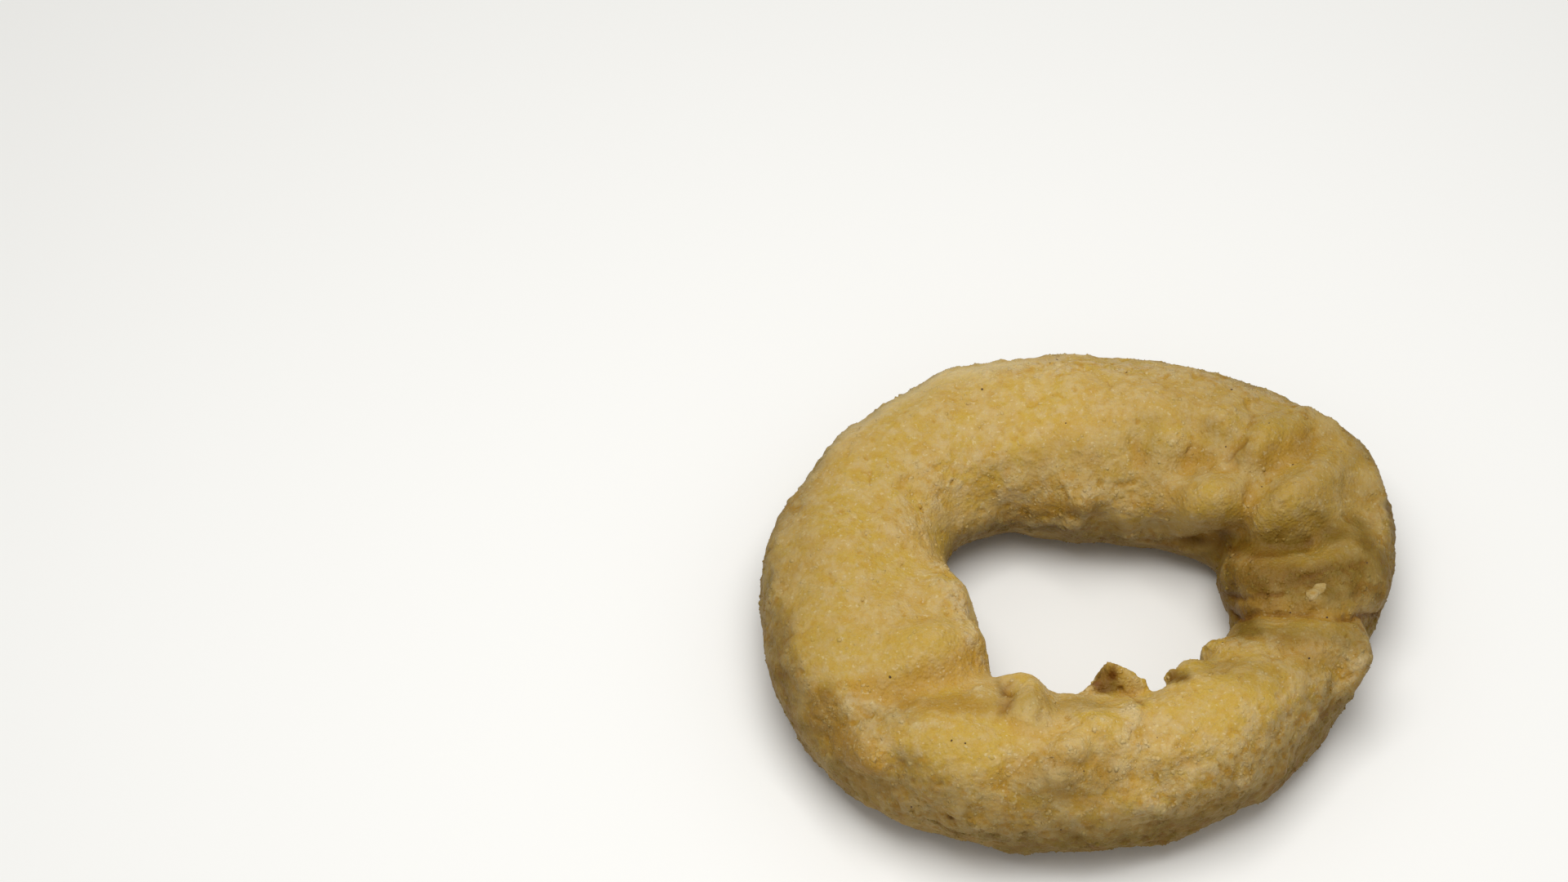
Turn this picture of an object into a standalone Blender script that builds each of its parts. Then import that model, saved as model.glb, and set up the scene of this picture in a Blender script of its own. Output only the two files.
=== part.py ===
"""One fried calamari ring: a squid ring in an uneven, crumbly batter crust, lying flat.

Units are metres, +Z is up. The origin is at the middle of the ring's footprint, on the
surface that it lies on. +X runs along the ring's longest side and +Y across it.

A place on the ring is a bearing, in degrees from +X towards +Y, and a section angle: 0 at
the outer side, 90 on the crown, 180 at the hole and 270 underneath. Lengths are in mm until
the mesh is made.
"""

import math
import random
from collections import namedtuple

import bmesh
import bpy
from mathutils import Matrix, Vector, noise

MM = 0.001

# The plain ring from above, at every thirtieth degree of bearing.
INNER_RADIUS = (17.8, 17.2, 13.2, 11.6, 15.2, 17.4, 13.8, 13.3, 14.8, 14.8, 15.6, 17.6)
OUTER_RADIUS = (36.8, 41.4, 37.4, 34.9, 35.9, 37.4, 37.7, 37.5, 34.2, 31.1, 31.4, 31.9)
CROWN_HEIGHT = (15.5, 18.0, 19.0, 18.8, 18.0, 17.5, 17.5, 17.5, 18.0, 18.0, 17.5, 16.5)
SECTION_POWER = 2.25
SUNK = 0.4

# The mesh's rows stand closer together on the side that the folds cross.
STEPS_AROUND = 116
FOLDED_SIDE = 10
CROWDING = 0.28
STEPS_ABOVE = 28
STEPS_BELOW = 12
SHORTEST_EDGE = 0.05
NORMAL_STEP = 0.5
SHARP_FROM = 50

# Shallow unevenness of the whole crust: the size of its swellings, how far they rise and
# which place in the noise they are read from.
SWELLINGS = (
    (11.0, 0.8, (0, 2.1, 5.9)),
    (6.0, 0.55, (7.3, 2.1, 5.9)),
    (3.6, 0.4, (14.6, 2.1, 5.9)),
)
# Puffed batter has round hills with sharp valleys between them, about a middle height.
PUFF_SIZE = 5.2
PUFF_RISE = 0.8
PUFF_MIDDLE = 0.25
PUFF_PLACE = (3.7, 11.3, 1.9)

Lump = namedtuple("Lump", "bearing section radius rise")
LUMPS = (
    # The puffed hills of the far right, beside the fold.
    Lump(36, 147, 5.6, 3.2),
    Lump(21, 127, 4.6, 2.2),
    Lump(20, 106, 4.8, 1.6),
    Lump(23, 86, 4.8, 1.9),
    Lump(26, 64, 4.6, 1.1),
    Lump(36, 114, 3.0, 1.1),
    Lump(39, 98, 3.0, 1.4),
    Lump(40, 80, 3.0, 1.2),
    Lump(37, 57, 5.0, 1.1),
    Lump(52, 160, 3.6, 0.9),
    Lump(63, 168, 3.4, 1.1),
    Lump(84, 160, 2.6, 1.0),
    # The broad left side and its bulge into the hole.
    Lump(211, 118, 6.0, 1.3),
    Lump(214, 148, 4.0, 1.5),
    Lump(190, 148, 5.4, 1.3),
    # The near side: a big swelling, a knob at the hole and small hills.
    Lump(234, 58, 7.5, 1.4),
    Lump(238, 138, 2.8, 1.2),
    Lump(246, 136, 3.2, 2.0),
    Lump(250, 114, 4.0, 1.5),
    Lump(264, 71, 3.5, 2.0),
    Lump(273, 93, 4.2, 1.6),
    Lump(280, 31, 3.4, 1.1),
    Lump(310, 88, 8.5, 0.9),
    # Small swellings of the outer right side, between the creases.
    Lump(346, 62, 3.6, 0.8),
    Lump(342, 30, 3.4, 0.8),
    Lump(3, 30, 4.5, 0.9),
    # Steps in the hole's edge.
    Lump(314, 146, 3.6, 2.1),
    Lump(333, 160, 3.2, 2.4),
    # The outline is drawn in at the crack's end and at the far left, and filled out at the far side.
    Lump(352, 358, 7.5, -1.8),
    Lump(143, 18, 6.0, -0.6),
    Lump(107, 34, 6.0, 0.8),
)

Groove = namedtuple("Groove", "course width depth")
GROOVES = (
    # The deep fold that runs from the hole across the right side, and its shallow end.
    Groove(((30, 184), (27, 166), (18, 142), (12, 118), (11, 98)), 2.1, 2.8),
    Groove(((12, 86), (13, 66), (15, 42)), 2.0, 1.4),
    # Valleys between the puffed hills of the far right.
    Groove(((34, 56), (30, 78), (29, 97), (34, 122), (46, 131)), 2.0, 1.0),
    Groove(((25, 122), (24, 140), (22, 160), (22, 176)), 1.3, 1.7),
    Groove(((52, 103), (50, 118), (48, 134)), 1.6, 1.6),
    Groove(((47, 62), (44, 84), (42, 107)), 1.2, 1.0),
    Groove(((66, 114), (64, 128)), 1.7, 1.1),
    # The cracks across the right side.
    Groove(((357, 182), (350, 138), (349, 110), (349, 84), (351, 64), (354, 32), (354, 8)), 1.3, 1.6),
    Groove(((3, 170), (358, 140), (354, 109), (358, 68)), 1.1, 0.7),
    Groove(((334, 84), (337, 55), (340, 32), (342, 10)), 1.2, 1.0),
    # The step between the left side and the near side.
    Groove(((231, 176), (230, 140), (228, 118), (223, 99), (219, 71), (216, 42), (212, 13)), 2.0, 1.7),
    Groove(((220, 5), (227, 15), (233, 31)), 1.7, 1.3),
    # The knob's dimple, the valley beside it, and the rough hollow of the near side.
    Groove(((241, 124), (244, 112)), 1.2, 1.6),
    Groove(((257, 128), (258, 105), (258, 84)), 1.9, 1.0),
    Groove(((268, 68), (271, 54), (277, 50), (282, 58)), 2.0, 0.9),
    Groove(((284, 41), (290, 46), (297, 50)), 1.6, 1.1),
)

# Thin torn leaves of crust. The lean is from upright towards the hole, and the peak is where
# the torn edge is highest, from -1 to 1 across the leaf.
Leaf = namedtuple("Leaf", "bearing section width height thickness lean turn peak curl")
LEAVES = (
    Leaf(280, 150, 8.0, 3.5, 1.3, 35, 6, -0.35, 0.8),
    Leaf(307, 147, 2.4, 1.8, 1.1, 35, -55, -0.3, 0.3),
)
LEAF_COLUMNS = 7
LEAF_ROWS = 4
LEAF_ROOT = 0.35
LEAF_TAPER = 0.75
LEAF_THINNING = 0.5

# The largest of the crumbs that cling to the crust.
Crumb = namedtuple("Crumb", "bearing section radius")
CRUMBS = (
    # Along the hole's far edge.
    Crumb(31, 168, 0.8),
    Crumb(41, 178, 0.8),
    Crumb(74, 143, 0.8),
    Crumb(84, 163, 1.1),
    Crumb(92, 175, 1.0),
    Crumb(103, 158, 0.9),
    Crumb(117, 167, 1.0),
    Crumb(128, 172, 1.1),
    Crumb(142, 170, 1.1),
    Crumb(150, 183, 0.9),
    # On the near left.
    Crumb(211, 21, 1.0),
    Crumb(214, 40, 1.4),
    Crumb(220, 57, 1.3),
    Crumb(224, 79, 0.9),
    Crumb(225, 27, 1.1),
    Crumb(232, 114, 0.9),
    Crumb(243, 20, 1.2),
    Crumb(246, 11, 1.1),
    # On the near side and round to the right.
    Crumb(262, 56, 1.3),
    Crumb(275, 61, 1.5),
    Crumb(285, 16, 1.5),
    Crumb(292, 46, 1.2),
    Crumb(303, 22, 1.1),
    Crumb(311, 44, 1.0),
    Crumb(314, 3, 1.1),
    Crumb(354, 86, 1.5),
    Crumb(32, 8, 1.1),
    Crumb(37, 12, 1.2),
)
CRUMB_SEED = 7
CRUMB_UNEVENNESS = 0.25
CRUMB_FLATNESS = 0.6


def around(values, bearing):
    """A smooth closed curve through values that stand evenly round the ring, at a bearing."""
    place = bearing / 360 * len(values)
    first = math.floor(place)
    share = place - first
    before, start, end, after = (values[(first + step) % len(values)] for step in (-1, 0, 1, 2))
    slope_in = (end - before) / 2
    slope_out = (after - start) / 2
    cubic = 2 * (start - end) + slope_in + slope_out
    square = -3 * (start - end) - 2 * slope_in - slope_out
    return ((cubic * share + square) * share + slope_in) * share + start


def plain_point(bearing, section):
    """A point of the plain ring, before its relief."""
    inner = around(INNER_RADIUS, bearing)
    outer = around(OUTER_RADIUS, bearing)
    half_width = (outer - inner) / 2
    half_height = around(CROWN_HEIGHT, bearing) / 2
    across = math.cos(math.radians(section))
    up = math.sin(math.radians(section))
    spread = abs(across / half_width) ** SECTION_POWER + abs(up / half_height) ** SECTION_POWER
    reach = spread ** (-1 / SECTION_POWER)
    radius = (inner + outer) / 2 + reach * across
    turn = math.radians(bearing)
    return Vector((radius * math.cos(turn), radius * math.sin(turn), half_height + reach * up - SUNK))


def plain_normal(bearing, section):
    """The outward direction of the plain ring."""
    step = NORMAL_STEP
    along = plain_point(bearing + step, section) - plain_point(bearing - step, section)
    over = plain_point(bearing, section + step) - plain_point(bearing, section - step)
    return along.cross(over).normalized()


def distance_to_course(point, course):
    """How far a point is from a line through several points."""
    nearest = math.inf
    for start, end in zip(course, course[1:]):
        run = end - start
        share = max(0, min(1, (point - start).dot(run) / run.length_squared))
        nearest = min(nearest, (point - start - share * run).length)
    return nearest


def unevenness(point):
    """How far the batter's swellings and puffs rise at a point."""
    rise = 0
    for size, height, place in SWELLINGS:
        rise += height * noise.noise(point / size + Vector(place))
    puff = abs(noise.noise(point / PUFF_SIZE + Vector(PUFF_PLACE)))
    return rise + PUFF_RISE * (puff - PUFF_MIDDLE)


def named_relief(point, lumps, grooves):
    """How far the lumps and grooves lift or sink the crust at a point."""
    rise = 0
    for centre, lump in lumps:
        near = (point - centre).length / lump.radius
        if near < 1:
            rise += lump.rise * (1 - near * near) ** 2
    for course, groove in grooves:
        near = distance_to_course(point, course) / groove.width
        rise -= groove.depth * math.exp(-near * near)
    return rise


def crust_point(bearing, section, lumps, grooves):
    """A point of the crust, cut off flat at the surface that it lies on."""
    point = plain_point(bearing, section)
    rise = unevenness(point) + named_relief(point, lumps, grooves)
    point += rise * plain_normal(bearing, section)
    point.z = max(point.z, 0)
    return point


def row_bearings():
    """The bearings of the mesh's rows."""
    for i in range(STEPS_AROUND):
        even = math.radians(360 * i / STEPS_AROUND)
        yield math.degrees(even - CROWDING * math.sin(even - math.radians(FOLDED_SIDE)))


def row_sections():
    """The section angles of a row, closer together above than underneath."""
    above = [180 * j / STEPS_ABOVE for j in range(STEPS_ABOVE)]
    below = [180 + 180 * j / STEPS_BELOW for j in range(STEPS_BELOW)]
    return above + below


def mesh_from(name, shape):
    """Turns a bmesh into a mesh of triangles that point out."""
    bmesh.ops.triangulate(shape, faces=shape.faces)
    bmesh.ops.recalc_face_normals(shape, faces=shape.faces)
    mesh = bpy.data.meshes.new(name)
    shape.to_mesh(mesh)
    shape.free()
    return mesh


def crust_mesh(lumps, grooves):
    """The whole crust without its leaves and crumbs, as one closed mesh."""
    shape = bmesh.new()
    sections = row_sections()
    rows = []
    for bearing in row_bearings():
        rows.append([shape.verts.new(crust_point(bearing, s, lumps, grooves)) for s in sections])
    for i, row in enumerate(rows):
        following = rows[(i + 1) % len(rows)]
        for j in range(len(sections)):
            k = (j + 1) % len(sections)
            shape.faces.new((row[j], following[j], following[k], row[k]))
    return mesh_from("calamari_ring", shape)


def radial(bearing):
    """The level direction away from the ring's middle."""
    turn = math.radians(bearing)
    return Vector((math.cos(turn), math.sin(turn), 0))


def leaf_point(leaf, across, up, side):
    """A point of a leaf in its own axes: across it, through it and up it."""
    slope_width = 1 + leaf.peak if across < leaf.peak else 1 - leaf.peak
    edge = abs(across - leaf.peak) / slope_width
    height = leaf.height * (1 - LEAF_TAPER * edge)
    thickness = leaf.thickness * (1 - LEAF_THINNING * max(0, up))
    bend = leaf.curl * up * up * (1 - edge)
    return Vector((across * leaf.width / 2, bend + side * thickness / 2, up * height))


def leaf_mesh(leaf, foot):
    """A bent leaf of crust that narrows to a torn peak, with its root in the crust."""
    up = Vector((0, 0, 1)) * math.cos(math.radians(leaf.lean))
    up -= radial(leaf.bearing) * math.sin(math.radians(leaf.lean))
    through = radial(leaf.bearing).cross(Vector((0, 0, 1))).cross(up)
    axes = Matrix((up.cross(through), through, up)).transposed()
    axes = Matrix.Rotation(math.radians(leaf.turn), 3, up) @ axes
    shape = bmesh.new()
    sheets = []
    for side in (-1, 1):
        for j in range(LEAF_ROWS + 1):
            height = -LEAF_ROOT + (1 + LEAF_ROOT) * j / LEAF_ROWS
            across = [2 * i / LEAF_COLUMNS - 1 for i in range(LEAF_COLUMNS + 1)]
            row = [leaf_point(leaf, place, height, side) for place in across]
            sheets.append([shape.verts.new(foot + axes @ point) for point in row])
    back, front = sheets[:LEAF_ROWS + 1], sheets[LEAF_ROWS + 1:]
    for j in range(LEAF_ROWS):
        for i in range(LEAF_COLUMNS):
            for sheet in (back, front):
                shape.faces.new((sheet[j][i], sheet[j][i + 1], sheet[j + 1][i + 1], sheet[j + 1][i]))
        for i in (0, LEAF_COLUMNS):
            shape.faces.new((back[j][i], front[j][i], front[j + 1][i], back[j + 1][i]))
    for i in range(LEAF_COLUMNS):
        for j in (0, LEAF_ROWS):
            shape.faces.new((back[j][i], front[j][i], front[j][i + 1], back[j][i + 1]))
    return mesh_from("leaf", shape)


def crumb_mesh(crumb, place, draw):
    """An uneven crumb, flattened against the crust."""
    flat = Matrix.Diagonal((1, 1, CRUMB_FLATNESS))
    upright = plain_normal(crumb.bearing, crumb.section).to_track_quat("Z", "Y").to_matrix()
    shape = bmesh.new()
    bmesh.ops.create_icosphere(shape, subdivisions=1, radius=crumb.radius)
    for vertex in shape.verts:
        vertex.co *= 1 + draw.uniform(-CRUMB_UNEVENNESS, CRUMB_UNEVENNESS)
        vertex.co = place + upright @ flat @ vertex.co
    return mesh_from("crumb", shape)


def batter_material():
    """Pale golden fried batter."""
    material = bpy.data.materials.new("fried_batter")
    material.use_nodes = True
    shader = material.node_tree.nodes["Principled BSDF"]
    shader.inputs["Base Color"].default_value = (0.62, 0.42, 0.16, 1)
    shader.inputs["Roughness"].default_value = 0.7
    shader.inputs["Metallic"].default_value = 0
    return material


def fuse(ring, meshes):
    """Joins the leaves and crumbs to the ring, so that it is one solid."""
    pieces = bpy.data.collections.new("clinging_pieces")
    for mesh in meshes:
        pieces.objects.link(bpy.data.objects.new(mesh.name, mesh))
    union = ring.modifiers.new("clinging_pieces", "BOOLEAN")
    union.operation = "UNION"
    union.operand_type = "COLLECTION"
    union.collection = pieces
    union.solver = "EXACT"
    bpy.context.view_layer.update()
    whole = ring.evaluated_get(bpy.context.evaluated_depsgraph_get())
    shape = bmesh.new()
    shape.from_mesh(whole.to_mesh())
    bmesh.ops.remove_doubles(shape, verts=shape.verts, dist=SHORTEST_EDGE)
    ring.modifiers.clear()
    ring.data = mesh_from("calamari_ring", shape)
    for piece in list(pieces.objects):
        bpy.data.objects.remove(piece)
    bpy.data.collections.remove(pieces)


def centre_footprint(mesh):
    """Moves the ring over the origin and brings it from mm to metres."""
    middle = Vector((0, 0, 0))
    for axis in (0, 1):
        places = [vertex.co[axis] for vertex in mesh.vertices]
        middle[axis] = (min(places) + max(places)) / 2
    mesh.transform(Matrix.Translation(-middle))
    mesh.transform(Matrix.Scale(MM, 4))


def main():
    for old in list(bpy.data.objects):
        bpy.data.objects.remove(old)
    lumps = [(plain_point(lump.bearing, lump.section), lump) for lump in LUMPS]
    grooves = [([plain_point(*place) for place in groove.course], groove) for groove in GROOVES]
    ring = bpy.data.objects.new("calamari_ring", crust_mesh(lumps, grooves))
    bpy.context.scene.collection.objects.link(ring)
    draw = random.Random(CRUMB_SEED)
    clinging = []
    for leaf in LEAVES:
        clinging.append(leaf_mesh(leaf, crust_point(leaf.bearing, leaf.section, lumps, grooves)))
    for crumb in CRUMBS:
        clinging.append(crumb_mesh(crumb, crust_point(crumb.bearing, crumb.section, lumps, grooves), draw))
    fuse(ring, clinging)
    centre_footprint(ring.data)
    ring.data.materials.clear()
    ring.data.materials.append(batter_material())
    ring.data.shade_smooth()
    ring.data.set_sharp_from_angle(angle=math.radians(SHARP_FROM))


main()
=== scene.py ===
"""The looks of one fried calamari ring: its fine crust, its flour, crumbs and specks.

Lengths are in mm until a mesh is made, but those of the light and the floor are in metres. A named
place on the crust is a pixel of the photograph, 1920 wide and 1080 high, which a ray from the
camera carries onto the ring.
"""

import math
from collections import namedtuple

import bmesh
import bpy
import numpy as np
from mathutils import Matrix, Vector, noise
from mathutils.bvhtree import BVHTree


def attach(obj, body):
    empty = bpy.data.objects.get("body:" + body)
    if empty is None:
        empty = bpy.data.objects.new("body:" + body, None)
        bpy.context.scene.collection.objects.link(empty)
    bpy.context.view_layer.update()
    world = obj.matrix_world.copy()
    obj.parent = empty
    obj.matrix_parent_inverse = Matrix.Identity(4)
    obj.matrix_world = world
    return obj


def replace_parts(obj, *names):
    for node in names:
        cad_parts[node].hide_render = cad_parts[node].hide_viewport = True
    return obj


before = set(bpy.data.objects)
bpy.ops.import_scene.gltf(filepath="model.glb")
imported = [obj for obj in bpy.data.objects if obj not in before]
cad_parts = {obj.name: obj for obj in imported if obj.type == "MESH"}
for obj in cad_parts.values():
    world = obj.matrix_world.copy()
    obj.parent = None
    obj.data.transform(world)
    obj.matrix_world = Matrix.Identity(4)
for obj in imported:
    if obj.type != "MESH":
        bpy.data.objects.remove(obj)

MM = 0.001
NODE = "calamari_ring"
BODY = "root"

# The camera: its lens, where the ring's middle shows, how large, and how steeply it is seen.
PHOTO_WIDTH, PHOTO_HEIGHT = 1920, 1080
LENS = 85
SENSOR = 36
FOCAL_PIXELS = LENS / SENSOR * PHOTO_WIDTH
RING_PIXEL = (1320, 742)
PIXELS_PER_MM = 10.37
SEEN_FROM_ABOVE = 55
RING_MIDDLE = Vector((-0.55, -1.65, 9.0))
NEAREST_SEEN = 0.01

# A soft square light that stands above the ring, a pale room and a pale floor: metres and watts.
LIGHT_PLACE = (-0.02, -0.02, 0.32)
LIGHT_SIZE = 0.22
LIGHT_POWER = 0.755
LIGHT_COLOUR = (1.0, 0.99, 0.965)
ROOM_LIGHT = 0.45
ROOM_COLOUR = (1.0, 0.995, 0.985, 1)
FLOOR_SIZE = 2
FLOOR_ROUGHNESS = 0.8

# The crust's mesh: the size of its faces, how often the solid's own faces are divided first, how
# close two points are when they are one, and how often the solid and the crust are smoothed.
VOXEL = 0.30
SUBDIVISIONS = 2
SAME_POINT = 0.001
FORM_SMOOTHING = 8
CRUST_SMOOTHING = 8
# How often the crust is smoothed to find which way it faces on the whole, and what is a fine and
# what is a wide hollow.
FACING_SMOOTHING = 60
FINE_HOLLOW_SMOOTHING = 8
WIDE_HOLLOW_SMOOTHING = 120
# No point of the crust or of a grain lies lower than this.
LOWEST = 0.04
# The underside has larger faces, so that the others can be small. It is what lies below this height
# and faces down by more than this tilt, where -1 is straight down.
UNDERSIDE_TOP = 5
UNDERSIDE_TILT = -0.25
MOST_TRIANGLES = 270000

# How far apart, in photo pixels, the ring is probed along a patch's course, and along a fold's or a
# stroke's. A patch or a fold has faded at three times its reach or width, a stroke at four times.
PATCH_STEP = 12
COURSE_STEP = 4
PATCH_END = 3
STROKE_END = 4

# The noise that makes edges ragged: the size of its features, and how far it moves them.
PATCH_WARP = (2.5, 1.0)
HILL_WARP = (3.0, 0.5)
FOLD_WARP = (1.6, 0.3)
FLAKE_WARP = (1.2, 0.35)
FINE_WARP = (0.5, 0.12)

# A swell is noise that the crust follows: its height where the crust is smooth, how much is added
# where it is rough, the size of its features and its place in the noise.
Swell = namedtuple("Swell", "smooth rough size place")
FORM_SWELLS = (Swell(0.10, 0.2, 3.4, (1.7, 8.2, 4.4)), Swell(0.03, 0.12, 1.7, (5.1, 2.6, 9.3)))
CRUST_SWELL = Swell(0.05, 0.07, 0.9, (0.3, 0.6, 0.9))
# How thick a flake is where the crust is smooth, how much is added where it is rough, and how deep
# a pit is.
FLAKE_RISE = 0.06
ROUGH_FLAKE_RISE = 0.14
PIT_DEPTH = 0.18

# The clumps of batter: how many, their radii, and how much is added to the radius of a few of them
# where the crust is rough.
CLUMPS = 11000
CLUMP_RADII = (0.32, 0.5)
ROUGH_CLUMP_RADIUS = 0.3
# How much a clump, a lump or a grain is stretched.
STRETCH = (0.7, 1.3)

# Loose grains: their piece's name, how many, the seed of their random draw, their smallest and
# largest radius, how often their ball is divided, and how white they are, from 0 to 1.
Grains = namedtuple("Grains", "name count seed radii rounds whiteness")
GRAINS = (
    Grains("fine_crumbs", 24000, 11, (0.10, 0.26), 0, (0.0, 0.4)),
    Grains("flour_grains", 8000, 12, (0.14, 0.36), 1, (0.0, 0.6)),
)
# The seeds of the other random draws.
CLUMP_SEED = 5
LUMP_SEED = 31
SPECK_SEED = 21

# A patch is the area within reach, in mm, of a course of photo pixels. Its amount is a share from
# 0 to 1, or for a hill or a hollow how far it rises or sinks in mm. It fades beside the course.
Patch = namedtuple("Patch", "course reach amount")
HILLS = (
    # The puffed hills of the far right.
    Patch(((1468, 612), (1490, 604)), 3.2, 0.8),
    Patch(((1535, 640), (1570, 622), (1605, 598)), 3.0, 0.4),
    Patch(((1518, 556), (1545, 538), (1572, 514)), 1.7, 0.4),
    Patch(((1575, 532), (1596, 522)), 2.0, 0.4),
    Patch(((1478, 528), (1492, 512)), 2.2, 0.6),
    Patch(((1408, 540), (1430, 510)), 2.4, 0.6),
    Patch(((1628, 575), (1645, 545)), 2.4, 0.5),
    # The near side's hills.
    Patch(((1318, 916),), 2.0, 1.0),
    Patch(((1345, 890),), 1.6, 0.5),
    Patch(((1256, 856), (1266, 874)), 2.6, 0.5),
    Patch(((1233, 858), (1234, 868)), 1.2, 0.8),
    Patch(((1140, 925), (1190, 915)), 3.4, 0.45),
    Patch(((1110, 955), (1160, 960), (1205, 952)), 2.6, 0.6),
    Patch(((1062, 930), (1088, 940)), 2.4, 0.5),
    Patch(((1388, 872), (1392, 884)), 1.0, 0.4),
    Patch(((1290, 947), (1330, 947), (1352, 950)), 2.0, 0.5),
    # The lower end of the left side.
    Patch(((1110, 785), (1190, 765)), 3.4, 0.6),
    # The outer rim of the right side.
    Patch(((1600, 508), (1628, 522)), 1.8, 0.8),
    Patch(((1680, 582), (1686, 600)), 1.8, 0.8),
    Patch(((1666, 795), (1662, 815), (1652, 838)), 2.0, 1.1),
)
# Hollows are orange: partly oil that stays in them, partly painted shade.
HOLLOWS = (
    Patch(((1110, 846), (1160, 832), (1205, 812)), 1.9, 0.22),
    Patch(((1150, 862), (1190, 868)), 1.6, 0.3),
    Patch(((1072, 872), (1084, 866)), 0.8, 0.3),
    Patch(((1102, 938), (1106, 926)), 0.9, 0.25),
    Patch(((1048, 950), (1064, 966), (1100, 962)), 1.0, 0.35),
    Patch(((1222, 955), (1246, 940)), 1.4, 0.4),
    Patch(((1341, 926), (1346, 936), (1358, 944)), 1.2, 0.35),
    Patch(((1300, 975), (1345, 980)), 1.6, 0.4),
    Patch(((1552, 580), (1580, 566), (1606, 552)), 1.4, 0.15),
    Patch(((1462, 578), (1482, 568), (1500, 572)), 1.0, 0.35),
    Patch(((1388, 545), (1398, 562)), 1.0, 0.5),
    Patch(((1402, 905), (1412, 890)), 1.0, 0.3),
    Patch(((1452, 925), (1458, 932)), 1.0, 0.4),
)
# Where the crust is rough with flakes and crumbs.
ROUGH_PATCHES = (
    # Round the hole.
    Patch(((1160, 690), (1180, 662), (1215, 642), (1260, 632), (1310, 640)), 2.2, 1.0),
    Patch(((1310, 640), (1350, 655), (1425, 658)), 1.8, 0.9),
    Patch(((1230, 600), (1330, 605), (1420, 625)), 2.6, 0.5),
    Patch(((1285, 850), (1330, 846), (1380, 850)), 1.4, 0.5),
    Patch(((1152, 690), (1174, 738), (1190, 772), (1201, 806)), 1.3, 0.9),
    # Over the hole's far left corner.
    Patch(((1120, 640), (1150, 590), (1210, 570)), 3.5, 0.4),
    # The near side.
    Patch(((1035, 865), (1045, 890), (1070, 925), (1100, 955)), 3.2, 0.6),
    Patch(((1070, 870), (1095, 875)), 1.6, 0.7),
    Patch(((1090, 985), (1150, 1005), (1220, 1020), (1320, 1035), (1420, 1025)), 2.6, 1.0),
    Patch(((1290, 945), (1345, 960), (1400, 955), (1450, 935)), 3.6, 0.55),
    Patch(((1240, 950), (1270, 960)), 2.4, 0.7),
    Patch(((1385, 865), (1395, 905)), 1.8, 0.6),
    # The right side.
    Patch(((1480, 695), (1560, 712), (1640, 700)), 3.0, 0.5),
    Patch(((1500, 780), (1560, 790), (1640, 800)), 3.0, 0.45),
    Patch(((1420, 1000), (1500, 965), (1580, 905), (1640, 850)), 5.0, 0.8),
    Patch(((1690, 560), (1700, 640), (1705, 700)), 2.6, 0.7),
    Patch(((1640, 712), (1690, 725)), 2.6, 0.6),
    Patch(((1680, 765), (1670, 800), (1660, 830)), 2.2, 0.9),
    # The far side's and the left side's rim.
    Patch(((1200, 455), (1330, 445), (1480, 460), (1600, 500)), 1.8, 0.7),
    Patch(((945, 650), (935, 720), (945, 820)), 1.5, 0.6),
)
# Where more oil stays in the crust: orange.
OILY_PATCHES = (
    # The far side and the hole's far edge.
    Patch(((1560, 562), (1600, 545)), 2.4, 1.0),
    Patch(((1455, 560), (1500, 572)), 1.6, 1.0),
    Patch(((1388, 545), (1398, 562)), 1.2, 1.0),
    Patch(((1325, 555), (1350, 575)), 2.0, 0.4),
    Patch(((1240, 628), (1290, 622), (1340, 628)), 1.8, 0.7),
    # The right arm.
    Patch(((1520, 700), (1600, 705)), 3.0, 0.7),
    Patch(((1515, 745), (1560, 750), (1600, 755)), 2.0, 1.0),
    Patch(((1580, 795), (1620, 805)), 2.4, 0.6),
    # Under the lower end of the left side, and the near side.
    Patch(((1110, 846), (1160, 832), (1205, 812)), 1.9, 0.4),
    Patch(((1100, 858), (1150, 862), (1190, 862)), 2.2, 0.9),
    Patch(((1005, 870), (1035, 910), (1065, 940)), 2.8, 1.0),
    Patch(((1255, 945), (1300, 952), (1390, 952)), 1.8, 0.6),
    Patch(((1180, 990), (1270, 1000)), 3.0, 0.4),
    Patch(((1450, 985), (1510, 970)), 2.6, 0.4),
    # The slits on the far right and the knob's cleft.
    Patch(((1502, 565), (1524, 541)), 0.9, 1.0),
    Patch(((1234, 848), (1228, 868)), 1.0, 1.0),
)
# Where the batter is bare of flakes: smooth and yellow.
YELLOW_PATCHES = (
    Patch(((1010, 790), (1075, 795), (1150, 778)), 3.2, 0.9),
    Patch(((1125, 940), (1190, 915), (1245, 890)), 3.4, 1.0),
    Patch(((1150, 850), (1195, 860)), 2.2, 0.8),
    Patch(((1262, 870), (1275, 900)), 2.0, 0.3),
    Patch(((1440, 640), (1500, 630)), 2.2, 0.8),
    Patch(((1545, 640), (1600, 630)), 2.0, 0.7),
    Patch(((1555, 540), (1595, 520)), 2.0, 0.6),
    Patch(((1625, 590), (1650, 560)), 2.4, 0.6),
    Patch(((1560, 692), (1635, 682)), 2.2, 0.9),
    Patch(((1440, 872), (1520, 862), (1600, 850)), 3.6, 0.6),
    Patch(((1270, 525), (1330, 520)), 3.6, 0.4),
    Patch(((1060, 720), (1110, 700)), 3.0, 0.4),
)
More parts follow.
